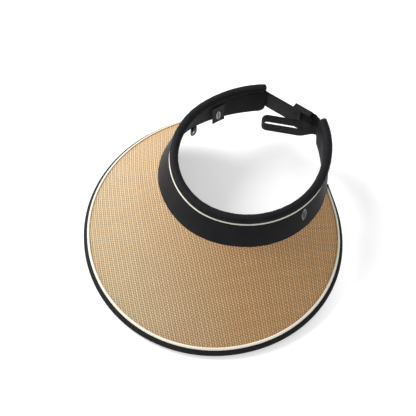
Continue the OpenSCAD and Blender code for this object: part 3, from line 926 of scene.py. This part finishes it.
def band():
    for side in (0, -1, 1):
        angles = band_angles(side)
        mesh = loft("wall_cloth", band_rings(angles, wall_outline))
        add_band_piece("wall_cloth", side, mesh, WALL_KNIT, ["wall"])
        mesh = loft("lining", band_rings(angles, lining_outline))
        lining = add_band_piece("lining", side, mesh, LINING_KNIT, ["sweatband"])
        mesh = loft("rim_roll", rim_rings(angles))
        rim = add_band_piece("rim_roll", side, mesh, RIM_KNIT, ["rim"])
        mesh = loft("hem_tape", band_rings(angles, hem_outline))
        add_band_piece("hem_tape", side, mesh, HEM_TAPE, ["hem"])
        band_stitches(side, angles)


def band_stitches(side, angles):
    """Topstitching just above the wall's bottom edge and below the lining's top edge."""
    inside = [a for a in angles if end_distance(a) > 2.5]
    rows = {"wall_stitches": (lambda a: (wall_h(a) - corner_cut(a) - 2.0, -0.15 - 0.9 * pinch(a)), 1),
            "lining_stitches": (lambda a: (LINING_DROP + 1.6, OUT_INSIDE + 1.6 * pinch(a) - 0.2), -1)}
    for kind, (at, facing) in rows.items():
        path, normals = [], []
        for a in inside:
            drop, out = at(a)
            path.append(placed(band_point(a, drop, out)))
            normals.append(facing * (placed(band_point(a, drop, out + 1)) - path[-1]).normalized())
        mesh = stitches(kind, path, normals, length=2.2, gap=0.9, thick=0.4)
        add_band_piece(kind, side, mesh, BLACK_THREAD)


def band_piping():
    """Thin cream piping between the wall and the roll. It thins out and ends under the roll at the sides."""
    path, outs, ups, radii = [], [], [], []
    for a in spread(-SPLIT_AT, SPLIT_AT, 420):
        p = ring_point(a, flare(a) * PIPING_SHARE + 0.35, -PIPING_DROP)
        path.append(placed(p))
        outs.append(lean_back(Vector((sin(a), -cos(a), 0))))
        ups.append(lean_back(Vector((0, 0, 1))))
        radii.append(PIPING_D / 2 * (1 - 0.6 * ease(SPLIT_AT - 6, SPLIT_AT, abs(a))))
    mesh = tube("band_piping_cord", path, outs, ups, radii, radii)
    add_piece("band_piping_cord", mesh, COTTON, "root", ["band_piping"])


# ---- Back closure ----

UP = lean_back(Vector((0, 0, 1)))
BARS_Y = STRAP_Y + STRAP_T * 1.5 + 2 * STRAP_GAP
STITCH_ROW = (-11.5, 11.5)      # ends of a row of stitches across a strap


def strap_place(x, y, z=0.0):
    """A point along the closure: z is measured from the strap's centre line."""
    return placed((x, y, z - STRAP_DROP))


def root_path(side):
    """Centre line of a strap's sewn-in end, from inside a wing out to the ring's end."""
    return [placed(ring_point(side * a, -2.8, -STRAP_DROP)) for a in (151, 152.4, 153.8, 155)]


def webbing(name, path, replaced):
    """A strap that bends where it leaves its wing."""
    mesh = ribbon(name, path, UP, STRAP_W, STRAP_T, rib=0.10)
    piece = add_piece(name, mesh, WEBBING, None, replaced)
    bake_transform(piece)


def back_strap():
    """Strap from the right wing through the slider, with a folded and stitched free end."""
    straight = [strap_place(x, STRAP_Y) for x in (-31, -26, -18, -8, 2, 12, 20, STRAP_END_X)]
    path = smooth_path(root_path(-1) + straight, TAPE_STEP)
    webbing("strap_webbing", path, ["back_strap", "strap_root_right"])
    hem_y = STRAP_Y - STRAP_T / 2 - 0.45
    fold = [strap_place(x, hem_y) for x in (STRAP_END_X - 4.5, STRAP_END_X - 2, STRAP_END_X)]
    mesh = ribbon("strap_end_fold", smooth_path(fold, TAPE_STEP), UP, STRAP_W, 0.8, rib=0.08)
    add_piece("strap_end_fold", mesh, WEBBING, "strap", ["strap_end_hem"])
    row = [strap_place(STRAP_END_X - 3, hem_y - 0.38, z) for z in STITCH_ROW]
    inward = lean_back(Vector((0, -1, 0)))
    sew("strap_end_stitches", row, [inward, inward], "webbing", "strap", thick=0.5)


def anchor_strap():
    """Short strap from the left wing, round the slider's end bar and sewn back onto itself."""
    under_y = STRAP_Y + STRAP_T * 1.5 + STRAP_GAP
    bar_y = BARS_Y + STRAP_T / 2 + BAR_T / 2
    over_y = bar_y + BAR_T / 2 + STRAP_GAP + STRAP_T / 2
    fold_x = SLIDER_X + SLIDER_L - BAR_W - STRAP_GAP
    middle_y, radius = (under_y + over_y) / 2, (over_y - under_y) / 2
    fold = [strap_place(fold_x + 1 - radius * 0.8 * sin(c), middle_y - radius * cos(c))
            for c in range(0, 181, 30)]
    back = [strap_place(x, y) for x, y in ((23, over_y), (25.8, over_y - 0.1), (28.6, over_y - 1.5),
                                           (30.4, under_y + STRAP_T + 0.15), (31.6, under_y + STRAP_T + 0.1))]
    under = [strap_place(x, under_y) for x in (31.5, 28, 24)]
    path = smooth_path(root_path(1) + under + fold + back, TAPE_STEP)
    replaced = ["anchor_strap", "strap_root_left"]
    webbing("anchor_webbing", path, replaced)
    outward = lean_back(Vector((0, 1, 0)))
    row = [strap_place(29.9, under_y + STRAP_T + 1.25, z) for z in STITCH_ROW]
    sew("anchor_stitches", row, [outward, outward], "webbing", "adjuster", thick=0.5)


def slider():
    """Three-bar slider: two rails and three bars, moulded in one with rounded edges."""
    rail_h, first_bar_w, middle_bar_x = 2.7, 2.5, 7
    inner_y = STRAP_Y - STRAP_T / 2 - STRAP_GAP - BAR_T
    half = STRAP_W / 2 + 2 * STRAP_GAP
    rail = (SLIDER_L, BARS_Y + BAR_T - inner_y, rail_h)
    boxes = [((SLIDER_X, inner_y, z), rail) for z in (half, -half - rail_h)]
    bars = ((0, first_bar_w, BARS_Y), (middle_bar_x, BAR_W, inner_y), (SLIDER_L - BAR_W, BAR_W, BARS_Y))
    for x, w, y in bars:
        boxes.append(((SLIDER_X + x, y, -half - 1), (w, BAR_T, 2 * half + 2)))
    shape = bmesh.new()
    for corner, size in boxes:
        cube = bmesh.ops.create_cube(shape, size=1)
        for v in cube["verts"]:
            v.co = Vector(corner) + Vector([(c + 0.5) * s for c, s in zip(v.co, size)])
    mesh = bpy.data.meshes.new("slider_blocks")
    shape.to_mesh(mesh)
    shape.free()
    mesh = rounded_union(mesh, 0.2, 8)
    strap_frame = Matrix.Translation(SHIFT) @ Matrix.Rotation(math.radians(-LEAN), 4, "X")
    strap_frame = strap_frame @ Matrix.Translation((0, 0, -STRAP_DROP))
    mesh.transform(Matrix.Scale(MM, 4) @ strap_frame)
    mesh.shade_smooth()
    add_piece("strap_slider", mesh, PLASTIC, "adjuster", ["slider"])


def rounded_union(mesh, voxel, passes):
    """One moulded body out of overlapping blocks, with its edges rounded by smoothing."""
    holder = link(mesh.name, mesh)
    union = holder.modifiers.new("union", "REMESH")
    union.mode = "VOXEL"
    union.voxel_size = voxel
    rounding = holder.modifiers.new("rounding", "SMOOTH")
    rounding.iterations = passes
    return applied(holder)


def loop_half(s):
    """Half the distance between the middles of the loop's legs, s mm from its root."""
    return LOOP_T + (LOOP_GAP / 2 - LOOP_T) * ease(1, LOOP_OPEN, s) - LOOP_T / 2


def pull_loop():
    """Loop of narrow tape, sewn to the lining of the left wing's end."""
    pivot = ring_point(RING_END, OUT_INSIDE - 1, -STRAP_DROP)
    turn = 180 + LOOP_TURN
    forward = Vector((cos(turn), sin(turn), 0))
    aside = Vector((-sin(turn), cos(turn), 0))
    radius = LOOP_GAP / 2
    far = LOOP_L - radius
    legs = [(s, loop_half(s)) for s in spread(2, far, 12)]
    bend = radius - LOOP_T / 2
    tip = [(far + bend * cos(c), bend * sin(c)) for c in range(75, -76, -15)]
    outline = legs + tip + [(s, -h) for s, h in reversed(legs)]
    root = [ring_point(a, OUT_INSIDE - 0.7, -STRAP_DROP) for a in (149.4, 151, 152.6, 154)]
    path = [placed(p) for p in root] + [placed(pivot + forward * s + aside * h) for s, h in outline]
    mesh = ribbon("pull_loop_tape", smooth_path(path, TAPE_STEP), UP, LOOP_TAPE_W, LOOP_T,
                  rib=0.06, rib_pitch=0.9, columns=26)
    piece = add_piece("pull_loop_tape", mesh, LOOP_TAPE, None, ["pull_loop", "loop_root"])
    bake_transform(piece)
    for k, z in enumerate((-4.6, 4.6)):
        row = [placed(ring_point(a, OUT_INSIDE - 1.15, z - STRAP_DROP)) for a in (149.7, 151.7, 153.7)]
        inward = (placed(ring_point(152, -9, 0)) - placed(ring_point(152, -8, 0))).normalized()
        sew(f"loop_stitches_{k}", row, [inward] * 3, "loop_tape", "wing_left", length=1.8, gap=0.6, thick=0.4)


# ---- Trim ----

def leaf_points(half_long, arc_r, count=24):
    """Pointed oval between two arcs, upright."""
    inset = math.sqrt(arc_r ** 2 - half_long ** 2)
    reach = math.degrees(math.asin(half_long / arc_r))
    right = [(arc_r * cos(c) - inset, arc_r * sin(c)) for c in spread(-reach, reach, count)]
    return right[:-1] + [(-x, -y) for x, y in right[:-1]]


def leaf_badge():
    """Small satin metal leaf: an open outline with a vein."""
    down, proud = 0.45, 0.75        # its share of the way down the wall, and how far it stands off it
    lie = on_ring(BADGE_AT, flare(BADGE_AT) * down + proud, -down * wall_h(BADGE_AT))
    lie = lie @ Matrix.Rotation(-math.atan2(flare(BADGE_AT), wall_h(BADGE_AT)), 4, "X")
    lie = lie @ Matrix.Rotation(math.radians(25), 4, "Y") @ Matrix.Rotation(math.radians(90), 4, "X")
    half_long, arc_r = 6.5, 8.5
    outlines = [leaf_points(half_long, arc_r), leaf_points(half_long - 1.5, arc_r - 0.9)]
    mesh = plate("leaf_badge_rim", outlines, 1.0, 0.28, lie)
    add_piece("leaf_badge_rim", mesh, NICKEL, "root", ["leaf_badge"])
    vein = [(-0.4, 1 - half_long), (0.4, 1 - half_long), (0.4, half_long - 1), (-0.4, half_long - 1)]
    mesh = plate("leaf_badge_vein", [vein], 0.8, 0.18, lie)
    add_piece("leaf_badge_vein", mesh, NICKEL, "root")


def label_matrix():
    out = flare(LABEL_AT) * LABEL_DROP / wall_h(LABEL_AT) + OUT_INSIDE - LABEL_IN
    return on_ring(LABEL_AT, out, -LABEL_DROP)


def label_face(x, z):
    """How far the softly curled label stands off its plane."""
    curl = 0.5 * (z / LABEL_H) ** 2 + 0.25 * (x / LABEL_W * 2) ** 2 * abs(z / LABEL_H)
    return 0.3 + curl + 0.12 * noise.noise(Vector((x * 0.25, z * 0.2, 41)))


def label_inward(place):
    return (place.to_3x3() @ Vector((0, 1, 0))).normalized()


def size_label():
    """Satin label that hangs from its header, with an embroidered leaf."""
    place = label_matrix()
    xs = spread(-LABEL_W / 2, LABEL_W / 2, 24)
    rings, cloth = [], []
    for z in spread(0, -LABEL_H + 0.1, 44):
        rings.append([place @ Vector((x, label_face(x, z) - LABEL_T / 2, z)) for x in xs]
                     + [place @ Vector((x, label_face(x, z) + LABEL_T / 2, z)) for x in reversed(xs)])
        cloth += [(x, z, 0) for x in xs + xs[::-1]]
    mesh = loft("label_cloth", rings, cloth)
    piece = add_piece("label_cloth", mesh, SATIN, "label", ["size_label"])
    label_leaf(place)


def label_leaf(place):
    """The leaf: one slanting stitch in each row on each side of its vein."""
    half_long, arc_r, middle_z, half_vein, slant = 7.2, 10, -11.5, 0.3, 0.5
    inward = label_inward(place)
    inset = math.sqrt(arc_r ** 2 - half_long ** 2)
    points, faces = [], []
    for y in spread(-half_long + 0.4, half_long - 0.4, 21):
        half = math.sqrt(arc_r ** 2 - y ** 2) - inset
        if half - half_vein < 0.5:
            continue
        for low, high, rise in ((-half, -half_vein, slant), (half_vein, half, -slant)):
            ends = []
            for x, z in ((low, middle_z + y - rise), (high, middle_z + y + rise)):
                ends.append(place @ Vector((x, label_face(x, z) + LABEL_T / 2, z)))
            length = (ends[1] - ends[0]).length * 0.97
            mesh = stitches("leaf_stitch", ends, [inward, inward], length, gap=0.01, thick=0.55, sunk=0.05)
            base = len(points)
            points += [v.co / MM for v in mesh.vertices]
            faces += [tuple(base + i for i in p.vertices) for p in mesh.polygons]
            bpy.data.meshes.remove(mesh)
    per_stitch = 36
    cloth = [(k * 0.1, k * 0.3, k // per_stitch) for k in range(len(points))]
    mesh = finish_mesh("label_leaf", points, faces, cloth, 80)
    add_piece("label_leaf", mesh, GREY_THREAD, "label")


def label_header():
    """Short strip sewn to the sweatband, which holds the label."""
    place = label_matrix()
    rings = []
    for x in spread(-LABEL_W / 2, LABEL_W / 2, 30):
        front = 0.75 + 0.06 * noise.noise(Vector((x * 0.8, 0, 51)))
        outline = [(0.05, 0.25), (0.0, 1.7), (0.05, 3.1), (0.35, 3.2), (front, 3.0), (front + 0.06, 1.7),
                   (front, 0.35), (0.35, 0.2)]
        rings.append([place @ Vector((x, y, z)) for y, z in outline])
    mesh = loft("label_header_cloth", rings)
    add_piece("label_header_cloth", mesh, SATIN, "root", ["label_header"])
    inward = label_inward(place)
    row = [place @ Vector((x, 0.78, 2.2)) for x in (-LABEL_W / 2 + 0.6, LABEL_W / 2 - 0.6)]
    sew("label_stitches", row, [inward, inward], "label_satin", "root", length=1.6, gap=0.6, thick=0.35)


def circle_points(x, y, r, start, end, count):
    return [(x + r * cos(c), y + r * sin(c)) for c in spread(start, end, count)]


def cord_eyes():
    """Metal eye for a chin cord on each side, hung from the hem by a ribbon round its bar."""
    hole_z, half_w, corner = -6.4, 4.5, 0.8
    slot_half, slot_z = 3.3, -2.9
    for side, name in ((-1, "right"), (1, "left")):
        a = side * EYE_AT
        hang = on_ring(a, flare(a) - EYE_IN, -wall_h(a) - 0.8 - EYE_DROP)
        upright = hang @ Matrix.Rotation(math.radians(90), 4, "X")
        outer = circle_points(0, hole_z, half_w, 180, 360, 28)
        outer += circle_points(half_w - corner, 0, corner, 0, 90, 6)
        outer += circle_points(corner - half_w, 0, corner, 90, 180, 6)
        slot = [(-slot_half, slot_z), (slot_half, slot_z), (slot_half, -BAR_T / 2), (-slot_half, -BAR_T / 2)]
        hole = circle_points(0, hole_z, EYE_R, 0, 360, 36)[:-1]
        mesh = plate(f"chin_cord_eye_{name}", [outer, slot, hole], BAR_T, 0.4, upright)
        add_piece(f"chin_cord_eye_{name}", mesh, GUNMETAL, f"eye_{name}", [f"cord_eye_{name}"])
        path = [Vector((0, y, z)) for y, z in ((1.35, EYE_DROP + 0.6), (1.4, 1.6), (1.35, 0.5), (0.95, -0.95),
                                               (0, -1.4), (-0.95, -0.95), (-1.35, 0.5), (-1.4, 1.6),
                                               (-1.35, EYE_DROP + 0.6))]
        width = hang.to_3x3() @ Vector((1, 0, 0))
        mesh = ribbon("eye_ribbon_tape", smooth_path([hang @ p for p in path], 0.2), width, 6, 0.6,
                      rib=0.03, rib_pitch=0.6, columns=16)
        tape = add_piece(f"eye_ribbon_tape_{name}", mesh, RIBBON, None, [f"eye_ribbon_{name}"])
        start, end = (hang @ Vector((0, 0, z)) * MM for z in (EYE_DROP, 1.1))
        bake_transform(tape)
        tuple(start)
        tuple(end)


# ---- Hidden layers keep their CAD shapes and get their own finishes ----

def hidden_layers():
    buckram = filling_look("buckram", (0.82, 0.81, 0.77), 0.8)
    wire = metal_look("spring_wire", (0.55, 0.55, 0.57), 0.25, 0.15)
    strip = filling_look("clear_strip", (0.62, 0.63, 0.65), 6, 0.35, 0.02)
    foam = filling_look("open_foam", (0.74, 0.74, 0.71), 0.9, 0.9)
    looks = {"brim_interlining": buckram, "brim_edge_wire": wire, "stiffener_": strip, "foam_": foam}
    for name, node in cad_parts.items():
        for start, look in looks.items():
            if name.startswith(start):
                node.data.materials.clear()
                node.data.materials.append(look)


# ---- Floor, lights and camera ----

def floor():
    """A pale surface that gives off some light, like the picture's white ground."""
    half, glow = 4, 0.42
    mesh = bpy.data.meshes.new("floor")
    corners = [(-half, -half, 0), (half, -half, 0), (half, half, 0), (-half, half, 0)]
    mesh.from_pydata(corners, [], [(0, 1, 2, 3)])
    ground = link("floor", mesh)
    look = Look("light_table", (0.8, 0.8, 0.8), 0.9, shine=0.1)
    look.shader.inputs["Emission Color"].default_value = (1, 1, 1, 1)
    look.shader.inputs["Emission Strength"].default_value = glow
    tone = look.blend(look.noise(look.place(), 300), (0.78, 0.78, 0.78), (0.82, 0.82, 0.82))
    mesh.materials.append(look.finish(tone))


def area_light(name, place, size, power):
    """A round lamp that faces the visor."""
    target = Vector((0, 0, 0.04))
    lamp = bpy.data.lights.new(name, "AREA")
    lamp.shape = "DISK"
    lamp.size = size
    lamp.energy = power
    light = link(name, lamp)
    light.location = place
    light.rotation_euler = (target - Vector(place)).to_track_quat("-Z", "Y").to_euler()


def lights():
    world = bpy.data.worlds.new("studio")
    world.use_nodes = True
    world.node_tree.nodes["Background"].inputs["Color"].default_value = (1, 1, 1, 1)
    world.node_tree.nodes["Background"].inputs["Strength"].default_value = 0.58
    bpy.context.scene.world = world
    bpy.context.scene.view_settings.view_transform = "Standard"
    area_light("key", (-1.5, 0.1, 1.3), 1.1, 39)
    area_light("fill", (0.3, -1.4, 1.6), 1.4, 1.5)


def camera():
    """Looks down on the visor from the front and its wearer's left, slightly rolled."""
    azimuth, elevation, roll, distance = 41.35, 61.83, -5.88, 1.0554
    target = Vector((-0.0079, -0.0044, 0.0456))
    back = Vector((sin(azimuth) * cos(elevation), -cos(azimuth) * cos(elevation), sin(elevation)))
    right = Vector((cos(azimuth), sin(azimuth), 0))
    up = back.cross(right)
    turned_right = right * cos(roll) + up * sin(roll)
    turned_up = up * cos(roll) - right * sin(roll)
    lens = bpy.data.cameras.new("camera")
    lens.lens = 89.4
    lens.sensor_width = 36
    view = link("camera", lens)
    axes = Matrix((turned_right, turned_up, back)).transposed().to_4x4()
    view.matrix_world = Matrix.Translation(target + back * distance) @ axes
    bpy.context.scene.camera = view


camera()
brim_weave()
brim_underside()
brim_binding()
seam_tape()
brim_piping()
band()
band_piping()
back_strap()
anchor_strap()
slider()
pull_loop()
leaf_badge()
label_header()
size_label()
cord_eyes()
hidden_layers()
floor()
lights()
